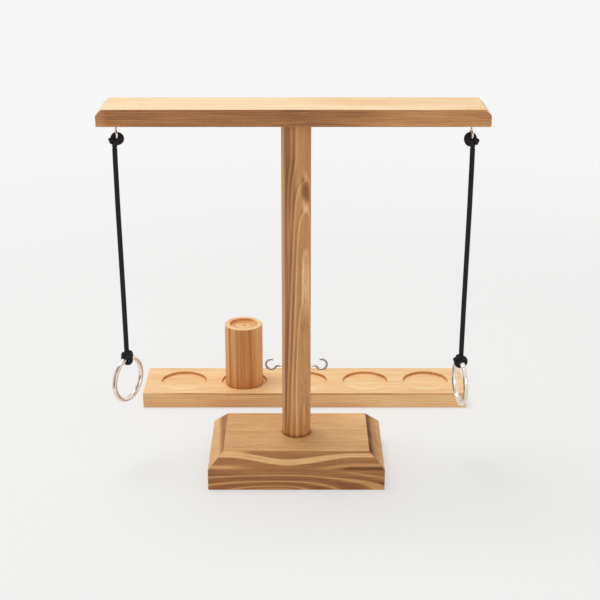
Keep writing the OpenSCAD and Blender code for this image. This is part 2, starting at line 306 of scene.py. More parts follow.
EYE_X = {LEFT: -177.5, RIGHT: 172.5}
EYE_WIRE, EYE_RING_R, EYE_RING_Z, EYE_FOOT_Z, EYE_TURN = 2.2, 3.8, 361.8, 358, 18
RING_WIRE, RING_R = 5.5, 22.75
RING_TURN = {LEFT: 60, RIGHT: -81}
RING_TOP_Z = {LEFT: 122.75, RIGHT: 119.25}
CORD_D, KNOT_CORD_D = 4.6, 4
TOP_LOOP_R, LOOP_SLACK, RING_LOOP_R, NECK_OUT = 3.9, 0.5, 5.05, 2.1

# Cord route: outward from the eye, and down from its lowest wire; the longer cord is longer evenly,
# between its knots
CORD_ROUTE = [(2.1, 8.8), (2.1, 10.6), (2.1, 16), (2.1, 26), (2, 40), (1.9, 55), (1.8, 70),
              (1.6, 85), (1.4, 100), (1.2, 115), (1, 130), (0.8, 145), (0.6, 160), (0.4, 175),
              (0.3, 190), (0.15, 203), (0.05, 214), (0, 226.8)]
EXTRA_CORD = {LEFT: 0, RIGHT: 3.5}
EXTRA_FROM, EXTRA_TO = 10.6, 226.4

# Knots. Over the eye: the loop's slack towards the post and downward, then the knob's place outward
# and down from the eye. Over the ring: the knob's shift sideways and downward.
TOP_KNOT = {LEFT: (0.8, 0.2, 3.9, 1.6), RIGHT: (0, 1.5, 4.4, 2.8)}
RING_KNOB_SHIFT = {LEFT: (0.9, 0.3), RIGHT: (-1.6, 2.3)}
TOP_KNOB = {"radius": 1.5, "tube": 0.7, "lift": 1.9, "turn": 0.6}
RING_KNOB = {"radius": 2.8, "tube": 1.7, "lift": 2.2, "turn": 1.1}
TOP_KNOB_CORD_D, TOP_STRAND_D, RING_KNOB_CORD_D = 3.2, 3.4, 4.1
# Outward, back and up from the eye's foot
TOP_STRAND = ((-4.6, -0.8, 0.6), (-2.2, -2.2, -0.9), (0.3, -2.6, -3.2), (2, -1.6, -6))

# Braid: strands, length of a crossing, and how far its crowns stand out and its valleys cut in
BRAID_STRANDS, BRAID_PITCH, BRAID_CROWN, BRAID_DEPTH = 8, 1.9, 0.3, 0.4
CORD_STEP, KNOT_STEP = 0.42, 0.4


# Cords and knots
def braid(angle, along):
    """Relief of a round braid: strands cross over and under each other."""
    a = angle * BRAID_STRANDS / math.tau + along / BRAID_PITCH
    b = angle * BRAID_STRANDS / math.tau - along / BRAID_PITCH

    def crown(place):
        return np.abs(np.cos(np.pi * (place - np.floor(place) - 0.5))) ** 0.6

    over_a = crown(a) + 0.5 * np.cos(np.pi * (b - 0.5)) * np.where(np.floor(a) % 2, -1, 1)
    over_b = crown(b) - 0.5 * np.cos(np.pi * (a - 0.5)) * np.where(np.floor(b) % 2, -1, 1)
    return np.clip(np.maximum(over_a, over_b), 0, 1.5) / 1.5


def braid_paint():
    paint = Paint("black_braid")
    fibre = paint.cloud(paint.x / 0.16, paint.y / 0.16, paint.z / 0.5, 2.0)
    crown = paint.node("ShaderNodeAttribute", {"attribute_name": "relief"}, output="Fac")
    # Painted shade in the valleys between the strands, paler on their crowns
    colour = paint.shades(crown * 0.8 + fibre * 0.12,
                          [(0.0, rgb(8, 6, 9)), (0.55, rgb(24, 20, 25)), (1.0, rgb(56, 49, 57))])
    return paint.finish(colour, 0.75, height=fibre, relief=0.06, specular_ior_level=0.3)


def cord_piece(name, line, diameter, round_ends=0.0):
    """Length of braided cord; its ends are rounded over round_ends millimetres."""
    return sweep(name, line, diameter / 2 + BRAID_CROWN, 40, braid, BRAID_DEPTH, round_ends)


def knob(radius, tube, lift, turn):
    """Line of a drawn-tight overhand knot about the Z axis, with its ends overlapping."""
    line = []
    for t in np.linspace(0, 2 * math.tau, 140):
        out = radius + tube * math.cos(1.5 * t)
        line.append((out * math.cos(t + turn), out * math.sin(t + turn), lift * math.sin(1.5 * t)))
    return np.array(line)


def hang_cord(side):
    """Cord from knot to knot."""
    name = SIDE_NAMES[side]
    route = [(EYE_X[side] + side * out, 0,
              EYE_FOOT_Z - drop - EXTRA_CORD[side] * max(0, drop - EXTRA_FROM) / (EXTRA_TO - EXTRA_FROM))
             for out, drop in CORD_ROUTE]
    line = smooth(route, CORD_STEP)
    cord = cord_piece(name + "_braided_cord", line, CORD_D, 1.6)
    cord.data.materials.append(black_braid)
    put(cord, name + "_cord", name + "_cord")
    tuple(c * MM for c in route[0])
    0.2175 + EXTRA_CORD[side] * MM


def tie_to_eye(side):
    """Top knot: a loop over the eye's wire, slack towards the post, and a knob beside it."""
    name = SIDE_NAMES[side]
    eye_x = EYE_X[side]
    slack, sag, out, down = TOP_KNOT[side]
    loop = []
    for angle in np.linspace(0, math.tau, 90):
        reach = TOP_LOOP_R * math.cos(angle) + slack * min(0, math.cos(angle))
        loop.append((eye_x + side * (reach - LOOP_SLACK), 0.5 * math.sin(angle + 0.6),
                     EYE_FOOT_Z + TOP_LOOP_R * math.sin(angle) + sag * min(0, math.sin(angle))))
    # The knob lies on its side, tipped a little outward
    knob_line = knob(**TOP_KNOB)[:, [2, 0, 1]]
    knob_line = knob_line @ np.array(Matrix.Rotation(0.5 * side, 3, "Y")).T
    knob_line = knob_line + (eye_x + side * out, 0, EYE_FOOT_Z - down)
    strand = [(eye_x + side * across, back, EYE_FOOT_Z + up) for across, back, up in TOP_STRAND]
    neck = [(eye_x + side * (NECK_OUT + aside), 0, EYE_FOOT_Z - drop)
            for aside, drop in ((1.6, 1), (0, 5), (0, 10.2))]
    knot = joined(name + "_eye_knot", [
        cord_piece("loop", smooth(loop, KNOT_STEP), KNOT_CORD_D + 0.7),
        cord_piece("knob", smooth(knob_line, KNOT_STEP), TOP_KNOB_CORD_D, 1.0),
        cord_piece("strand", smooth(strand, KNOT_STEP), TOP_STRAND_D, 1.6),
        cord_piece("neck", smooth(neck, KNOT_STEP), CORD_D, 2.2)])
    knot.data.materials.append(black_braid)
    put(knot, name + "_top_knot", name + "_top_knot")


def tie_to_ring(side):
    """Bottom knot: a loop round the ring's wire and a knob above it."""
    name = SIDE_NAMES[side]
    eye_x = EYE_X[side]
    facing = math.radians(RING_TURN[side] + 90)
    loop = []
    for turn in np.linspace(0.03 * math.tau, 0.97 * math.tau, 80):
        reach = RING_LOOP_R * math.sin(turn)
        loop.append((eye_x + reach * math.cos(facing), reach * math.sin(facing),
                     RING_TOP_Z[side] + RING_LOOP_R * math.cos(turn)))
    aside, sunk = RING_KNOB_SHIFT[side]
    loop_top = RING_TOP_Z[side] + RING_LOOP_R
    knob_line = knob(**RING_KNOB) + (eye_x + aside, 0, loop_top - sunk)
    neck = [(eye_x, 0, loop_top + rise) for rise in np.linspace(0, 3.5, 12)]
    knot = joined(name + "_ring_knot", [
        cord_piece("loop", smooth(loop, KNOT_STEP), KNOT_CORD_D, 0.8),
        cord_piece("knob", smooth(knob_line, KNOT_STEP), RING_KNOB_CORD_D, 1.0),
        cord_piece("neck", neck, CORD_D - 0.1)])
    knot.data.materials.append(black_braid)
    put(knot, name + "_bottom_knot", name + "_bottom_knot")


black_braid = braid_paint()
for side in (LEFT, RIGHT):
    hang_cord(side)
    tie_to_eye(side)
    tie_to_ring(side)


# Hooks, eyes and rings
def steel(name, tint, roughness, streaks, tone=0.86):
    """Polished wire with fine lines along it; a streak is a painted dark reflection along the wire,
    given as (start, end, turn round it, half width).
    """
    paint = Paint(name)
    uv = paint.node("ShaderNodeTexCoord", output="UV")
    run = paint.node("ShaderNodeSeparateXYZ", {}, {0: uv})
    along, around = run * 1000, run.other("Y")
    lines = paint.cloud(along / 16, around * 26, 0.0, 2.0)
    stain = paint.cloud(paint.x / 3, paint.y / 3, paint.z / 3, 3.0)
    spots = paint.fade(paint.cloud(paint.x / 0.8, paint.y / 0.8, paint.z / 0.8, 2.0), 0.75, 1.1)
    shade = lines * 0.12 + stain * 0.08 - spots * 0.12 + tone
    # Each streak paints a dark reflection along the wire
    for start, end, turn, half in streaks:
        length = paint.fade(along, start, start + 3) * (1 - paint.fade(along, end - 3, end))
        width = 1 - paint.fade(abs(around - turn) + lines * 0.01, half * 0.4, half)
        shade = shade - length * width * 0.62
    colour = paint.shades(shade, [(0.0, rgb(92, 80, 78)), (0.45, rgb(176, 160, 152)),
                                  (0.8, rgb(228, 217, 210)), (1.0, tint)])
    return paint.finish(colour, roughness + lines * 0.05 + stain * 0.04 + spots * 0.2,
                        height=lines * 0.4 + stain, relief=0.02, metallic=1.0)


def thread(angle, along):
    """Relief of a wire that starts with a cut thread and is smooth beyond it."""
    ridge = 0.5 + 0.5 * np.cos(angle + math.tau * along / THREAD_PITCH)
    inside = np.clip((THREAD_L - along) / THREAD_PITCH, 0, 1)
    return 1 - inside * ridge


def screw_piece(name, line, diameter, round_ends, material):
    """Wire with a screw thread at its start."""
    obj = sweep(name, line, diameter / 2, 28, thread, THREAD_DEPTH, round_ends)
    obj.data.materials.append(material)
    return obj


def bend_hook(side):
    """Screw hook: thread, neck, bend down, round loop and blunt tip."""
    name = SIDE_NAMES[side]
    bend_x = POST_R + HOOK_NECK
    turn = math.radians(HOOK_NECK_TURN)
    slope_x = bend_x + HOOK_NECK_R * math.sin(turn)
    slope_z = HOOK_NECK_R * (math.cos(turn) - 1)
    loop_x = slope_x + HOOK_LOOP_R * math.sin(turn)
    loop_z = slope_z + HOOK_LOOP_R * math.cos(turn)
    line = [(x, 0) for x in np.linspace(POST_R - SCREW_L, bend_x, 60, endpoint=False)]
    line += arc((bend_x, -HOOK_NECK_R), HOOK_NECK_R, 90, 90 - HOOK_NECK_TURN, 12)[:-1]
    line += arc((loop_x, loop_z), HOOK_LOOP_R, 270 - HOOK_NECK_TURN, 270 + HOOK_LOOP_TURN, 70)
    # The tip runs straight on, by five steps of the loop
    line += [tuple(np.array(line[-1]) + (np.array(line[-1]) - np.array(line[-2])) * 5)]
    line = smooth([(side * x, 0, HOOK_Z + z) for x, z in line], 0.22)
    hook = screw_piece(name + "_screw_hook", line, HOOK_WIRE, 0.7, hook_chrome)
    put(hook, "stand", name + "_hook")


def bend_eye(side):
    """Screw eye: thread, shank, and a ring bent round until it meets the shank."""
    name = SIDE_NAMES[side]
    rise = [(0, BEAM_Z + z) for z in np.linspace(SCREW_L, 0, 40)]
    rise += [(0, BEAM_Z - 2), (0.1, BEAM_Z - 5), (0.5, BEAM_Z - 7.6)]
    rise += arc((0, EYE_RING_Z), EYE_RING_R, 74, -248, 60)
    out_x, out_y = -math.sin(math.radians(EYE_TURN)), math.cos(math.radians(EYE_TURN))
    line = smooth([(EYE_X[side] - out * out_x, -out * out_y, z) for out, z in rise], 0.2)
    eye = screw_piece(name + "_screw_eye", line, EYE_WIRE, 0.5, eye_chrome)
    put(eye, "stand", name + "_eye")


def weld_ring(side):
    """Throwing ring: bent bar with a ground weld, which stands out by a hair."""
    name = SIDE_NAMES[side]
    heading = math.radians(RING_TURN[side])
    line = []
    for a in np.linspace(0, math.tau, 200):
        reach = RING_R * math.sin(a)
        line.append((EYE_X[side] + reach * math.cos(heading), reach * math.sin(heading),
                     RING_TOP_Z[side] - RING_R + RING_R * math.cos(a)))
    weld_at = 0.56 * math.tau * RING_R

    def bar(along):
        return RING_WIRE / 2 - 0.05 + 0.05 * math.exp(-((along - weld_at) / 1.1) ** 2)

    ring = sweep(name + "_throwing_ring", line, bar, 36)
    ring.data.materials.append(ring_chrome[side])
    put(ring, name + "_ring", name + "_ring")


# The streaks are painted dark reflections: a core line on the hook and the eye, lines along the rings
hook_chrome = steel("hook_chrome", rgb(246, 238, 232), 0.2, [(11, 60, 0.27, 0.09)], 0.72)
eye_chrome = steel("eye_chrome", rgb(246, 238, 232), 0.2, [(12, 24, 0.25, 0.1)], 0.8)
ring_chrome = {
    LEFT: steel("left_ring_chrome", rgb(250, 242, 236), 0.15,
                [(38, 62, 0.44, 0.07), (105, 131, 0.07, 0.07), (66, 100, 0.55, 0.05)]),
    RIGHT: steel("right_ring_chrome", rgb(250, 242, 236), 0.15,
                 [(20, 37, 0.16, 0.07), (85, 105, 0.33, 0.07), (48, 72, 0.46, 0.05)])}
for side in (LEFT, RIGHT):
    bend_hook(side)
    bend_eye(side)
    weld_ring(side)


# Wood
class Wood(Paint):
    """Stained pine; u runs along the grain, v and w across it, in millimetres."""

    def __init__(self, name, along, seed):
        super().__init__(name)
        self.u, self.v, self.w = {"x": (self.x, self.y, self.z), "z": (self.z, self.x, self.y)}[along]
        u = self.u + seed * 311.0
        v = self.v + seed * 57.0
        self.streaks = self.cloud(u / 60, v / 1.5, self.w / 1.5, 3.0)
        self.fine = self.cloud(u / 9, v / 0.4, self.w / 0.4, 2.0)
        self.broad = self.cloud(u / 80, v / 15, self.w / 15, 2.0)
        self.wander = self.cloud(u / 120, v / 36, self.w / 36, 1.0)
        self.flecks = self.fade(self.cloud(u / 4, v / 0.6, self.w / 0.6, 1.0), 0.85, 1.25)

    def rings(self, distance, spacing):
        """Growth rings: how far across its ring a point lies, from 0 to 1, and a number per ring."""
        count = distance / spacing
        whole = self.math("FLOOR", count)
        chance = self.node("ShaderNodeTexWhiteNoise", {"noise_dimensions": "1D"}, {"W": whole})
        return count - whole, chance

    def late(self, part):
        """The dark late wood at the end of a ring."""
        return self.fade(part, 0.45, 0.82) * (1 - self.fade(part, 0.9, 1.0))

    def stain(self, tone, *colours):
        """Colours from dark to pale, at even steps of tone."""
        steps = len(colours) - 1
        return self.shades(tone, [(i / steps, rgb(*colour)) for i, colour in enumerate(colours)])


# Faces that meet at more than SHARP keep a crisp edge; SANDED is the most that sanding took off, in mm
SHARP = math.radians(40)
SANDED = 0.28


def lathe(profile, steps):
    """Bar turned from a profile of radius and height in millimetres, about the Z axis."""
    bm = bmesh.new()
    verts = [bm.verts.new((r, 0, z)) for r, z in profile]
    edges = [bm.edges.new(pair) for pair in zip(verts, verts[1:])]
    bmesh.ops.spin(bm, geom=verts + edges, cent=(0, 0, 0), axis=(0, 0, 1), angle=math.tau,
                   steps=steps, use_merge=True)
    bmesh.ops.remove_doubles(bm, verts=bm.verts[:], dist=1e-5)
    bmesh.ops.recalc_face_normals(bm, faces=bm.faces[:])
    return bm


def bore(radius, depth, steps=48):
    """Plain round bore, from the origin up."""
    return lathe([(0, 0), (radius, 0), (radius, depth), (0, depth)], steps)


def block(length, depth, height):
    """Plain bar that stands on the origin."""
    bm = bmesh.new()
    bmesh.ops.create_cube(bm, size=1)
    bmesh.ops.scale(bm, vec=(length, depth, height), verts=bm.verts[:])
    bmesh.ops.translate(bm, vec=(0, 0, height / 2), verts=bm.verts[:])
    return bm


def soften(bm, edges, width, segments=3):
    """Rounds or bevels edges."""
    bmesh.ops.bevel(bm, geom=edges, offset=width, offset_type="OFFSET", segments=segments,
                    profile=0.5, affect="EDGES", material=-1)


def solid(name, bm, place=(0, 0, 0)):
    """Object from a shape in millimetres, with clean shading on its flat faces."""
    bmesh.ops.translate(bm, vec=place, verts=bm.verts[:])
    bmesh.ops.scale(bm, vec=(MM, MM, MM), verts=bm.verts[:])
    mesh = bpy.data.meshes.new(name)
    bm.to_mesh(mesh)
    bm.free()
    mesh.shade_smooth()
    mesh.set_sharp_from_angle(angle=SHARP)
    return bpy.data.objects.new(name, mesh)


def cut(obj, *bores):
    """Takes bores, each a (shape, place, turn about Y in degrees), out of an object."""
    scene = bpy.context.scene.collection
    scene.objects.link(obj)
    cutters = []
    for bm, place, turn in bores:
        bmesh.ops.rotate(bm, cent=(0, 0, 0), matrix=Matrix.Rotation(math.radians(turn), 3, "Y"),
                         verts=bm.verts[:])
        cutter = solid("bore", bm, place)
        scene.objects.link(cutter)
        step = obj.modifiers.new("bore", "BOOLEAN")
        step.operation = "DIFFERENCE"
        step.solver = "EXACT"
        step.object = cutter
        cutters.append(cutter)
    bpy.context.view_layer.update()
    finished = obj.evaluated_get(bpy.context.evaluated_depsgraph_get())
    mesh = bpy.data.meshes.new_from_object(finished)
    mesh.name = obj.name
    obj.modifiers.clear()
    obj.data = mesh
    for cutter in cutters:
        bpy.data.objects.remove(cutter)
    scene.objects.unlink(obj)
    mesh.shade_smooth()
    mesh.set_sharp_from_angle(angle=SHARP)
    return obj


def plank(length, depth, thick, end_bevel, cuts):
    """Board with rounded edges, worn a little unevenly by hand sanding; cuts are its cross sections."""
    bm = block(length, depth, thick)
    if end_bevel:
        ends = [e for e in bm.edges if abs(sum(v.co.x for v in e.verts)) > length * 0.9
                and all(v.co.z > thick - 1e-4 for v in e.verts)]
        soften(bm, ends, end_bevel, 1)
    for x in np.linspace(12 - length / 2, length / 2 - 12, cuts):
        bmesh.ops.bisect_plane(bm, geom=bm.verts[:] + bm.edges[:] + bm.faces[:], dist=1e-5,
                               plane_co=(x, 0, 0), plane_no=(1, 0, 0))
    soften(bm, [e for e in bm.edges if e.calc_face_angle(0) > 0.3], BOARD_EDGE)
    close = BOARD_EDGE * 1.01
    for vert in bm.verts:
        x, y, z = vert.co
        if abs(abs(y) - depth / 2) < close and (abs(z - thick) < close or z < close):
            drift = 0.5 + 0.5 * noise.noise((x / 14, y, z / 40))
            vert.co.y -= math.copysign(SANDED * drift, y)
    return bm


def dress(obj, wood, body, node):
    """Finishes a piece of wood and puts it in its place."""
    obj.data.materials.clear()
    obj.data.materials.append(wood)
    obj.modifiers.new("even_shading", "WEIGHTED_NORMAL").keep_sharp = True
    put(obj, body, node)


# Base: plinth with four slopes and a socket for the post
def base_shape():
    bm = block(BASE_W, BASE_D, BAND_H)
    top = [f for f in bm.faces if f.normal.z > 0.9]
    raised = bmesh.ops.extrude_face_region(bm, geom=top)["geom"]
    bmesh.ops.delete(bm, geom=top, context="FACES")
    plateau = [v for v in raised if isinstance(v, bmesh.types.BMVert)]
    bmesh.ops.translate(bm, vec=(0, 0, BASE_H - BAND_H), verts=plateau)
    bmesh.ops.scale(bm, vec=(1 - 2 * INSET_X / BASE_W, 1 - 2 * INSET_Y / BASE_D, 1), verts=plateau)
    soften(bm, bm.edges[:], BASE_EDGE)
    return bm


def base_wood():
    p = Wood("base_pine", "x", 1)
    x, y, z = p.x, p.y, p.z
    # The rings sag under the plateau and arch up in the band below it
    west, east = p.fade(x, -95, -8), 1 - p.fade(x, -8, 62)
    sag = west * west * east
    height = z + sag * 6.6 + p.wander * 0.6 + p.streaks * 0.14
    light = p.fade(height, 33.0, 33.7)
    lens = p.fade(height + p.fade(x, 10, 60) * 1.7, 37.9, 38.5) * p.fade(x, -66, -44)
    hair = p.stripe(height, 35.8 + p.wander * 0.8, 0.35, 0.3)
    hair = hair * (1 - p.fade(x, -38, -22)) * p.fade(x, -62, -50)
    upper = light * (1 - lens * (0.88 + sag * 0.12)) - hair * 0.5
    in_band = 1 - p.fade(z, 21.8, 23.6)
    corner = p.stripe(z, 25.2, 1.5, 1.0) * (1 - p.fade(x, -72, -42)) * 0.75
    rise = p.fade(x, 12, 62) * 3.4 + 23.6
    rising = p.stripe(z, rise, 1.2, 0.8) * p.fade(x, 12, 40) * 0.72
    shadow = p.stripe(z, rise - 2.8, 1.3, 0.8) * p.fade(x, 36, 58) * 0.55
    # Band: lines round a heart under the table, flatter to the left than to the right
    spread = p.node("ShaderNodeMapRange", {"interpolation_type": "SMOOTHSTEP"},
                    {"Value": x, "From Min": -40, "From Max": 0, "To Min": 1 / 8, "To Max": 1 / 5.3})
    low = p.reach((x + 20) * spread, z + 2) - 2 + (y + 59) * 0.05 + p.wander * 0.6 + p.streaks * 0.12
    wide = p.fade(x, 20, 90)
    lower = (p.stripe(low, 4.3, 0.6, 0.45) * 0.9 + p.stripe(low, 10, 0.65, 0.45) * 0.95
             + p.stripe(low, 17 + wide * 1.4, 0.65 + wide * 1.0, 0.45) * 1.0
             + p.stripe(low, 24.5, 0.9, 0.7) * p.fade(x, 40, 62) * 0.75
             + p.stripe(low, 1.3, 0.6, 0.5) * 0.45 - p.stripe(low, 13.4, 1.6, 1.4) * 0.3
             - p.stripe(low, 7.2, 1.3, 1.2) * 0.3 - p.stripe(low, 20.8, 0.7, 0.6) * wide * 0.35)
    tone = (0.28 + in_band * 0.02 + upper * 0.46 + (corner + rising - shadow) * 0.36 * (1 - in_band)
            + lower * 0.3 * in_band + p.streaks * 0.08 + p.fine * 0.055 + p.broad * 0.05
            + (1 - lens) * upper * p.streaks * 0.05)
    # Slanting plane marks across the wide dark part of the slope
    slant = p.math("SINE", (x * 0.94 + z * 1.3) * 4.3 + p.broad * 2)
    marks = slant * p.fade(z, 24, 26) * (1 - light) * p.fade(x, -60, 20)
    tone = tone + marks * 0.05
    # End slopes: pale end grain, darker beside the plateau
    out = (abs(x) - BASE_W / 2 + INSET_X) / INSET_X
    back = p.math("MAXIMUM", (abs(y) - BASE_D / 2 + INSET_Y) / INSET_Y, 0.0)
    end = p.fade(out - back, 0.0, 0.04) * p.fade(out, 0.0, 0.02) * p.fade(z, 22.4, 23.2)
    right = p.fade(x, -1, 1)
    grain = p.cloud(y / 0.9, x / 5, z / 2.5, 3.0)
    slanted = p.cloud((y + x * 0.8) / 1.1, (y - x) / 9, 0.0, 2.0)
    soft = 1 - p.fade(out - (y + 46) * 0.0035 + slanted * 0.05, 0.03, 0.36)
    crisp = (1 - p.fade(out + grain * 0.03, 0.12, 0.45)) * 0.7
    crisp = crisp + (1 - p.fade(out + p.broad * 0.1 + grain * 0.05, 0.3, 1.15)) * 0.42
    mitre = p.stripe(out - back, 0.12, 0.09, 0.07) * (1 - p.fade(y, -50, -44))
    slope = ((0.76 - soft * 0.46) * (1 - right) + (0.66 - crisp * 0.56 - mitre * 0.14) * right
             + grain * 0.05 + slanted * 0.03 + p.broad * 0.07)
    tone = tone + (slope - tone) * end
    # Planed top: paler as painted light from above, with fine streaks and painted shade round the post
    top = p.fade(z, BASE_H - 0.5, BASE_H - 0.1)
    hairs = p.cloud(x / 26, y / 0.8, 0.0, 3.0)
    plain = 0.66 + p.streaks * 0.09 + p.fine * 0.12 + hairs * 0.1 + p.broad * 0.08 - p.flecks * 0.05
    split = p.stripe(y + p.wander, 1.4, 0.8, 0.6) * 0.08 - p.stripe(y + p.wander, -0.5, 0.6, 0.5) * 0.14
    plain = plain + p.stripe(x, -58, 17, 6) * split
    plain = plain + p.stripe(y + p.wander * 6, 8, 2.2, 2.0) * 0.05
    # Painted shade round the foot of the post
    shade_round_post = 1 - p.fade(p.reach(x, y), POST_R, POST_R + 3.5)
    plain = (plain - shade_round_post * 0.2 - p.fade(y, 20, 46) * (1 - p.fade(x, -40, 10)) * 0.08
             + p.fade(x, 0, 70) * 0.1)
    tone = tone + (plain - tone) * top
    tone = tone - p.stripe(z, BASE_H - 0.35, 0.3, 0.25) * 0.05
    colour = p.stain(tone, (88, 42, 14), (165, 110, 67), (205, 149, 93),
                     (237, 186, 126), (253, 217, 166))
    return p.finish(colour, 0.6 + p.streaks * 0.05 - tone * 0.08,
                    height=tone * 1.2 + p.streaks * 0.25 + p.fine * 0.2 + marks * 0.35 - p.flecks * 0.3,
                    relief=0.16, specular_ior_level=0.22)


plinth = cut(solid("plinth", base_shape()),
             (bore(POST_R + SOCKET_ROOM, 20, 96), (0, 0, SOCKET_FLOOR), 0),
             (bore(INSERT_BORE_R, 30), (0, 0, SOCKET_FLOOR - BASE_INSERT_L), 0))
dress(plinth, base_wood(), "stand", "base")


# Post
def post_wood():
    p = Wood("post_pine", "z", 2)
    x, z = p.x, p.z
    # Depth under the ridge where the outermost ring lies flat, on the right of the front
    deep = 41.2 - p.reach(x + 17, p.y - 20) + p.wander * 0.35 + p.streaks * 0.07
    ridge = 1 - p.fade(deep, 0.15, 0.9)

    def arch(top, quick, quick_l, slope):
        """Depth at which a ring comes out below its pointed top."""
        below = p.math("MAXIMUM", top - z, 0.0)
        return (1 - p.math("EXPONENT", below / -quick_l)) * quick + below * slope

    def outline(line, top, light, dark):
        """Pale line along a ring and the dusk outside it."""
        out = deep - line
        half = line * 0.08 + 0.16
        pale = 1 - p.fade(abs(out) / half, 0.4, 1.5)
        dusk = p.fade(out / half, 1.0, 2.0) * (1 - p.fade(out / half, 2.2, 6.0))
        return (pale * light - dusk * dark) * (1 - p.fade(z, top + 2, top + 9))

    first = arch(318.5, 2.0, 9.0, 0.026)
    second = arch(286.0, 1.2, 12.0, 0.0165)
    third = arch(241.0, 0.3, 10.0, 0.0) + arch(190.0, 1.65, 25.0, 0.0)
    outer = (1 - p.fade(z, 306, 344)) * 2.2 + 2.3 + p.math("MAXIMUM", 318.5 - z, 0.0) * 0.014
    lines = (outline(first, 318.5, 0.17, 0.12) + outline(second, 286, 0.24, 0.08)
             + outline(third, 241, 0.2, 0.07)
             + outline(outer, 400, 0.13, 0.15) * p.fade(z, 255, 285)
             + outline(outer + 2.7, 400, 0.11, 0.1) * p.fade(z, 200, 300))
    front = 1 - p.fade(p.y, -6, 0)
    wisps = p.fade(p.cloud(x / 1.7, p.y / 1.7, z / 11, 1.0), 0.15, 0.6)
    ragged = z + p.broad * 3 + abs(x - 4) * 1.1
    hollow = (p.stripe(ragged, 311, 9, 6) * 0.27 - p.stripe(ragged, 296.5, 6, 4) * 0.2
              - p.stripe(ragged, 327, 4, 3.5) * 0.13
              - p.stripe(ragged, 218, 22, 14) * (0.26 - wisps * 0.26)
              + p.stripe(ragged, 168, 12, 9) * (0.06 + wisps * 0.12)) * ridge
    foot = (p.stripe(x, 8.1, 0.8, 0.5) * p.stripe(z, 64, 11, 5) * 0.2
            - p.stripe(x, 4.6, 1.1, 0.7) * (1 - p.fade(z, 58, 80)) * 0.15
            + p.stripe(x, 12.4, 0.7, 0.5) * p.stripe(z, 100, 17, 6) * 0.1)
    shade = p.stripe(deep + p.broad * 0.5, 9.2, 1.5, 0.9) * 0.11 - p.stripe(deep, 14, 2.5, 1.5) * 0.07
    left = p.fade(deep, 1.2, 5.0) * (1 - p.fade(deep, 11.5, 13.0))
    edge = p.stripe(x + p.wander * 0.5, -13.2, 0.9, 0.7) * front
    tone = (0.54 - left * 0.12 - shade + lines + (foot - hollow) * front + edge * 0.07
            + p.streaks * 0.085 + p.fine * 0.055 + p.broad * 0.06
            - wisps * (1 - p.fade(z, 130, 150)) * ridge * 0.07)
    tone = tone - p.stripe(z, 316, 27, 16) * p.fade(deep, 1.8, 3.4) * (1 - p.fade(deep, 8, 12)) * 0.09
    # Painted shade where it meets the base and under the beam
    tone = tone - (1 - p.fade(z, BASE_H, BASE_H + 4)) * 0.3 - p.fade(z, BEAM_Z - 2.5, BEAM_Z) * 0.08
    colour = p.stain(tone, (92, 49, 22), (157, 99, 56), (202, 142, 85),
                     (238, 181, 120), (252, 211, 158))
    return p.finish(colour, 0.55 + p.streaks * 0.06 - tone * 0.06, relief=0.16,
                    height=tone * 1.3 + p.streaks * 0.3 + p.fine * 0.2 - p.flecks * 0.4)


def post_shape(height):
    """Dowel with broken edges, a little worn along its length."""
    corner = POST_R - POST_BEVEL
    profile = [(0, 0)] + arc((corner, POST_BEVEL), POST_BEVEL, -90, 0, 4)
    profile += [(POST_R, z) for z in np.linspace(8, height - 8, 40)]
    profile += arc((corner, height - POST_BEVEL), POST_BEVEL, 0, 90, 4)
    bm = lathe(profile + [(0, height)], 96)
    for vert in bm.verts:
        if 0 < vert.co.z < height:
            x, y, z = vert.co
            worn = 1 - 0.004 * (0.5 + 0.5 * noise.noise((x / 9, y / 9, z / 60)))
            vert.co.x *= worn
            vert.co.y *= worn
    return bm


def post_bores():
    """For the studs at its ends, from a millimetre outside the wood, and for the two hooks."""
    stud = STUD_WOOD_L + 2
    hook = HOOK_WIRE / 2 + WIRE_ROOM
    return [(bore(STUD_BORE_R, stud), (0, 0, SOCKET_FLOOR - 1), 0),
            (bore(STUD_BORE_R, stud), (0, 0, BEAM_Z - STUD_WOOD_L - 1), 0),
            (bore(hook, 20, 24), (POST_R - SCREW_L - 1, 0, HOOK_Z), 90),
            (bore(hook, 20, 24), (-POST_R + SCREW_L + 1, 0, HOOK_Z), -90)]


round_post = solid("round_post", post_shape(BEAM_Z - SOCKET_FLOOR), (0, 0, SOCKET_FLOOR))
dress(cut(round_post, *post_bores()), post_wood(), "stand", "post")


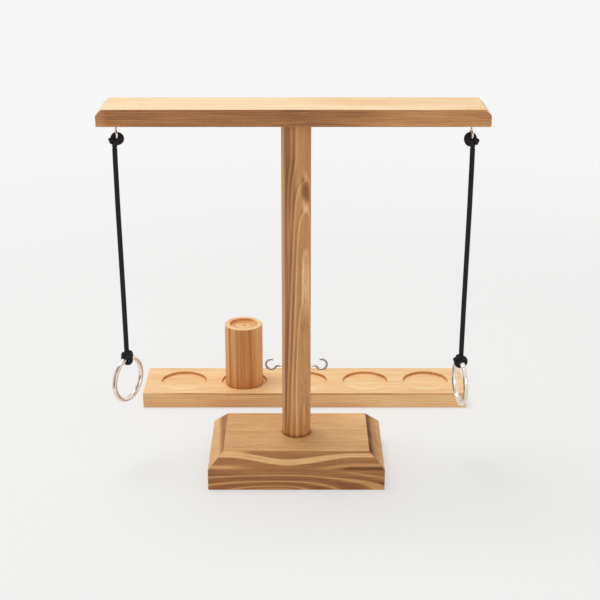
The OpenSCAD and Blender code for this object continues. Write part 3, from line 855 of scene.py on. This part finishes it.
# Beam
def beam_wood():
    p = Wood("beam_pine", "x", 3)
    z = p.z - BEAM_Z
    droop = p.fade(p.x, 20, 230)
    distance = p.reach(p.y + 4, z + 95) + droop * droop * 9 + p.wander * 1.6 + p.streaks * 0.16
    part, chance = p.rings(distance, 1.9)
    middle = p.fade(p.x + p.streaks, -190, -179) * (1 - p.fade(p.x + p.broad * 10, 5, 150))
    tone = (0.48 - middle * 0.15 + p.late(part) * (0.03 + chance * 0.08)
            - (1 - p.late(part)) * chance * 0.05 + p.streaks * 0.1 + p.fine * 0.06 + p.broad * 0.06)
    end = 1 - p.fade(p.x + p.broad * 2, BEAM_X - BEAM_L / 2 + 4, BEAM_X - BEAM_L / 2 + 16)
    ripple = p.math("SINE", p.x * 2.4 + z * 0.9 + p.broad * 3)
    tone = tone + end * (ripple * 0.03 - 0.03)
    tone = tone + p.stripe(z, BEAM_T - 0.9, 0.7, 0.5) * (0.03 + p.broad * 0.05)
    # Planed top, bevels included, paler as painted light from above
    cut_end = abs(p.x - BEAM_X) - BEAM_L / 2 + BEAM_END + z - BEAM_T
    top = p.math("MAXIMUM", p.fade(z, BEAM_T - 0.5, BEAM_T - 0.1), p.fade(cut_end, -0.5, -0.1))
    part, chance = p.rings(distance + p.wander * 1.5, 2.8)
    pale = (0.87 + p.streaks * 0.12 + p.fine * 0.06 + p.broad * 0.05 - p.late(part) * chance * 0.14
            + (1 - p.fade(p.y + p.wander * 2, -29, -21)) * 0.06 - p.fade(p.x, 40, 190) * 0.03)
    # Orange heartwood towards the back, and a small resin streak on the left
    warm = p.stripe(p.y + p.wander * 8 + p.streaks * 2, 12, 12, 9) * p.stripe(p.x, 80, 75, 45)
    resin = p.stripe(p.x, -149, 4, 3) * p.stripe(p.y + p.x * 0.1, -23, 1.8, 1.4)
    pale = pale - warm * 0.08 - resin * 0.15
    tone = tone + (pale - tone) * top
    colour = p.stain(tone, (90, 46, 20), (150, 91, 47), (204, 143, 85),
                     (240, 195, 141), (255, 233, 192))
    return p.finish(colour, 0.58 + p.streaks * 0.05 - tone * 0.06, relief=0.14,
                    height=tone * 0.9 + p.streaks * 0.3 + p.fine * 0.2 - p.flecks * 0.3)


cross_beam = solid("cross_beam", plank(BEAM_L, BEAM_D, BEAM_T, BEAM_END, 60), (BEAM_X, 0, BEAM_Z))
cross_beam = cut(cross_beam, (bore(INSERT_BORE_R, BEAM_INSERT_L + 1), (0, 0, BEAM_Z - 1), 0),
                 *[(bore(EYE_WIRE / 2 + WIRE_ROOM, SCREW_L + 2, 24), (EYE_X[side], 0, BEAM_Z - 1), 0)
                   for side in (LEFT, RIGHT)])
dress(cross_beam, beam_wood(), "stand", "beam")


# Score ladder: board with five turned recesses
def ladder_wood():
    p = Wood("ladder_pine", "x", 4)
    y, z = p.y - LADDER_Y, p.z
    distance = p.reach(y - 12, z + 70) + p.fade(p.x, 60, 260) * 5 + p.wander * 2.0 + p.streaks * 0.15
    part, chance = p.rings(distance, 2.6)
    tone = (0.57 + p.late(part) * (0.02 + chance * 0.15) + p.streaks * 0.12 + p.fine * 0.06
            + p.broad * 0.06 + p.fade(p.x, 0, 120) * 0.11)
    # Place within the nearest recess
    pitch = (p.x - LADDER_X) / RECESS_PITCH + 0.5
    across = (pitch - p.math("FLOOR", pitch) - 0.5) * RECESS_PITCH
    radius = p.reach(across, y)
    inside = 1 - p.fade(radius, RECESS_R + 0.3, RECESS_R + 0.6)
    inside = inside * p.fade(z, RECESS_FLOOR - 0.6, RECESS_FLOOR - 0.3)
    # Top and recess floors are paler, as painted light from above
    top = p.math("MAXIMUM", p.fade(z, LADDER_T - 0.45, LADDER_T - 0.1), inside)
    pale = (0.71 + p.late(part) * chance * 0.11 + p.streaks * 0.12 + p.fine * 0.07 + p.broad * 0.08
            + p.stripe(y + p.wander * 4, 24, 3.0, 2.5) * 0.05)
    # Painted shade on its wall and the back of its floor, painted light on the floor in front, and a
    # painted shadow at the foot of the far wall
    wall = p.fade(radius, RECESS_R - 1.0, RECESS_R - 0.5) * inside
    wall = wall * (1 - p.fade(z, LADDER_T - 0.35, LADDER_T - 0.05))
    far = p.fade(y, -4, 14)
    lit = p.fade(p.reach(across, y - 6.9) + p.wander, RECESS_R - 9, RECESS_R)
    lit = lit * (1 - p.fade(y, -18, 2)) * inside
    foot = p.fade(radius, RECESS_R - 3.2, RECESS_R - 0.5) * far * inside
    pale = pale - wall * (0.08 + far * 0.16) + lit * 0.13 - inside * p.fade(y, 0, 24) * 0.02 - foot * 0.1
    # Painted highlight along the front of the rim and painted shade along its back
    rim = p.stripe(radius, RECESS_R + 0.2, 0.35, 0.25) * p.fade(z, LADDER_T - 0.4, LADDER_T)
    pale = pale + rim * (0.08 - far * 0.2)
    tone = tone + (pale - tone) * top
    front_edge = p.stripe(z + p.wander * 0.3, LADDER_T - 0.9, 0.75, 0.4) * (1 - p.fade(y, -37.7, -36.8))
    tone = tone - front_edge * (0.32 + p.broad * 0.12) * p.fade(p.x, -180, -120)
    colour = p.stain(tone, (120, 70, 36), (184, 122, 68), (228, 168, 108),
                     (250, 205, 146), (255, 236, 194))
    return p.finish(colour, 0.58 + p.streaks * 0.05 - tone * 0.05, relief=0.14,
                    height=tone * 0.8 + p.streaks * 0.3 + p.fine * 0.2 - p.flecks * 0.3)


def recess_cutter():
    """Router bit's shape: a small fillet at the floor and a softened rim."""
    depth = LADDER_T - RECESS_FLOOR
    fillet, rim = 0.45, 0.3
    profile = [(0, 0.12), (3, 0.05), (6, 0.0), (RECESS_R - fillet, 0)]
    profile += arc((RECESS_R - fillet, fillet), fillet, -90, 0, 4)[1:]
    profile += arc((RECESS_R + rim, depth - rim + 0.001), rim, 180, 90, 4)
    return lathe(profile + [(RECESS_R + rim, depth + 3), (0, depth + 3)], 96)


recesses = [(recess_cutter(), (LADDER_X + i * RECESS_PITCH, LADDER_Y, RECESS_FLOOR), 0)
            for i in (-2, -1, 0, 1, 2)]
score_ladder = solid("score_ladder", plank(LADDER_L, LADDER_D, LADDER_T, 0, 40), (LADDER_X, LADDER_Y, 0))
dress(cut(score_ladder, *recesses), ladder_wood(), "ladder", "ladder")


# Marker: turned from a round bar, with the branch's heart in its dish
def marker_wood():
    p = Wood("marker_pine", "z", 5)
    x, y, z = p.x - MARKER_X, p.y - LADDER_Y, p.z - RECESS_FLOOR
    heart_x, heart_y = x - 1.4, y - 0.8
    sides = p.fade(abs(x + 1), 9, 21)
    bands = p.cloud(p.x / 3.2, p.y / 3.2, z / 160, 2.0)
    threads = p.cloud(p.x / 0.9, p.y / 0.9, z / 60, 2.0)
    dark = (p.stripe(x + p.wander * 0.8, -16.2, 0.7, 0.5) * 0.26
            + p.stripe(x + p.wander, -6.5, 0.9, 0.7) * 0.13
            + p.stripe(x + p.wander, 8.8, 1.4, 1.2) * 0.08 + p.stripe(x, -1, 6.0, 4.0) * 0.03)
    tone = (0.45 + sides * 0.11 + bands * 0.11 + threads * 0.1 + p.fine * 0.05 + p.broad * 0.05 - dark
            + p.stripe(x + p.wander, -18.6, 1.2, 0.9) * 0.1
            + p.stripe(x + p.wander, -11.5, 2.6, 2.0) * 0.08
            + p.stripe(x + p.wander, 14.5, 1.6, 1.2) * 0.1)
    # Top: the dish, whose rings circle the heart, and its rim; a painted highlight on the rim, and
    # painted shade on the far part of the dish and its far wall
    top = p.fade(z, MARKER_H - DISH_DEPTH - 0.6, MARKER_H - DISH_DEPTH - 0.3)
    top = top * (1 - p.fade(p.reach(x, y), MARKER_R - 0.9, MARKER_R - 0.4))
    top = p.math("MAXIMUM", top, p.fade(z, MARKER_H - 0.7, MARKER_H - 0.2))
    whirl = p.reach(heart_x, heart_y) + p.wander * 2.6 + p.broad * 1.6 + p.streaks * 0.12
    part, chance = p.rings(whirl, 2.9)
    knot = 1 - p.fade(p.reach(heart_x, heart_y * 1.3) + p.streaks * 0.3, 0.9, 2.3)
    swirl = p.stripe(whirl + x * 0.25, 5.2, 2.4, 2.0) * (1 - p.fade(y, 1, 10))
    dish = (0.56 + p.late(part) * (0.03 + chance * 0.1) + swirl * 0.2 + p.broad * 0.06
            + p.fine * 0.05 + p.streaks * 0.04 - knot * 0.3 - p.fade(y - x * 0.4, 3, 14) * 0.12)
    rim = p.fade(p.reach(x, y), DISH_R + 0.1, DISH_R + 0.6)
    wall = p.fade(p.reach(x, y), DISH_R - 3.2, DISH_R - 0.6) * (1 - rim)
    dish = dish - wall * (p.fade(y - x * 0.7, -2, 12) * 0.1) + rim * (0.2 + p.streaks * 0.03)
    tone = tone + (dish - tone) * top
    # Painted shade at the foot, where it stands in its recess
    tone = tone - (1 - p.fade(z, 0.3, 4.0)) * 0.13
    colour = p.stain(tone, (108, 52, 20), (182, 110, 54), (226, 158, 92),
                     (248, 201, 142), (255, 230, 186))
    return p.finish(colour, 0.55 + p.streaks * 0.05 - tone * 0.05, relief=0.15,
                    height=tone * 0.9 + p.streaks * 0.3 + p.fine * 0.25 - p.flecks * 0.4)


def marker_profile():
    """Foot, side with faint turning waves, round rim, and a dish with a soft corner."""
    profile = [(0, 0)] + arc((MARKER_R - 1, 1), 1, -90, 0, 5)
    for z in np.linspace(4, MARKER_H - 4, 24):
        profile.append((MARKER_R - 0.03 - 0.03 * math.sin(z * 1.9) - 0.03 * math.sin(z * 0.53), z))
    profile += arc((MARKER_R - 1, MARKER_H - 1), 1, 0, 90, 5)
    profile += arc((DISH_R + 0.7, MARKER_H - 0.7), 0.7, 90, 180, 5)
    floor = MARKER_H - DISH_DEPTH
    for a in np.linspace(0, math.pi / 2, 8):
        profile.append((DISH_R - 3.2 + 3.2 * math.cos(a), floor + 2.3 - 2.3 * math.sin(a)))
    for r in np.linspace(DISH_R - 4, 0.8, 22):
        profile.append((r, floor + 0.035 + 0.035 * math.sin(r * 2.9) + 0.14 * math.exp(-(r / 5) ** 2)))
    return profile + [(0, floor + 0.2)]


turned_marker = solid("turned_marker", lathe(marker_profile(), 128), (MARKER_X, LADDER_Y, RECESS_FLOOR))
dress(turned_marker, marker_wood(), "marker", "marker")


# Hidden screw fittings keep their solids, in zinc and brass
def fitting_metal(name, light, dark, roughness):
    """Dull plated metal with fine scratches."""
    paint = Paint(name)
    dull = paint.cloud(paint.x / 1.5, paint.y / 1.5, paint.z / 1.5, 3.0)
    scratch = paint.cloud(paint.x / 0.2, paint.y / 0.2, paint.z / 4, 2.0)
    colour = paint.shades(0.55 + dull * 0.25 + scratch * 0.1, [(0.0, dark), (1.0, light)])
    return paint.finish(colour, roughness + dull * 0.08, height=scratch, relief=0.02, metallic=1.0)


zinc = fitting_metal("zinc_plate", rgb(212, 214, 216), rgb(148, 150, 154), 0.34)
brass = fitting_metal("insert_brass", rgb(226, 192, 112), rgb(168, 132, 66), 0.3)
for names, metal in ((("lower_stud", "upper_stud"), zinc), (("base_insert", "beam_insert"), brass)):
    for name in names:
        for material_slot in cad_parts[name].material_slots:
            material_slot.material = metal


# Floor, lights and background
BACKGROUND = (0.93, 0.93, 0.925, 1)


def paper_floor():
    """Pale floor that keeps the shadow near the object and fades into the background."""
    bm = bmesh.new()
    bmesh.ops.create_grid(bm, x_segments=8, y_segments=8, size=8)
    mesh = bpy.data.meshes.new("studio_floor")
    bm.to_mesh(mesh)
    bm.free()
    # A hair below the pieces that stand on it
    mesh.transform(Matrix.Translation((0, 0, -0.0002)))
    floor = bpy.data.objects.new("studio_floor", mesh)
    bpy.context.scene.collection.objects.link(floor)

    paper = Paint("floor_paper")
    paper.finish((0.86, 0.86, 0.85, 1), 0.95)
    far = paper.fade(paper.reach(paper.x, paper.y), 550, 1500)
    glow = paper.node("ShaderNodeEmission", {}, {"Color": BACKGROUND, "Strength": 1.0})
    lit = Socket(paper, paper.shader.outputs["BSDF"])
    shown = paper.node("ShaderNodeMixShader", {},
                       {0: paper.background_rays() * (far * 0.5 + 0.5), 1: lit, 2: glow})
    paper.join(paper.tree.nodes["Material Output"].inputs["Surface"], shown)
    mesh.materials.append(paper.material)


def softbox(name, power, size, place, target):
    """Round soft lamp, in watts and metres, that faces a target."""
    lamp = bpy.data.lights.new(name, "AREA")
    lamp.shape = "DISK"
    lamp.size = size
    lamp.energy = power
    obj = bpy.data.objects.new(name, lamp)
    obj.location = place
    obj.rotation_euler = (Vector(target) - Vector(place)).to_track_quat("-Z", "Y").to_euler()
    bpy.context.scene.collection.objects.link(obj)


def studio_air():
    """Even grey light, behind which the background shows pale."""
    world = bpy.data.worlds.new("studio_world")
    bpy.context.scene.world = world
    world.use_nodes = True
    air = Nodes(world.node_tree)
    colour = air.node("ShaderNodeMix", {"data_type": "RGBA"},
                      {0: air.background_rays(), 6: (0.5, 0.5, 0.5, 1), 7: BACKGROUND}, output=2)
    background = air.tree.nodes["Background"]
    air.join(background.inputs["Color"], colour)
    air.join(background.inputs["Strength"], 1)


paper_floor()
softbox("overhead_softbox", 46, 1.8, (-0.75, 0.45, 3.1), (0, 0.05, 0.15))
softbox("front_fill", 10, 1.6, (0.5, -2.6, 1.3), (0, 0, 0.15))
studio_air()
bpy.context.scene.view_settings.view_transform = "Standard"
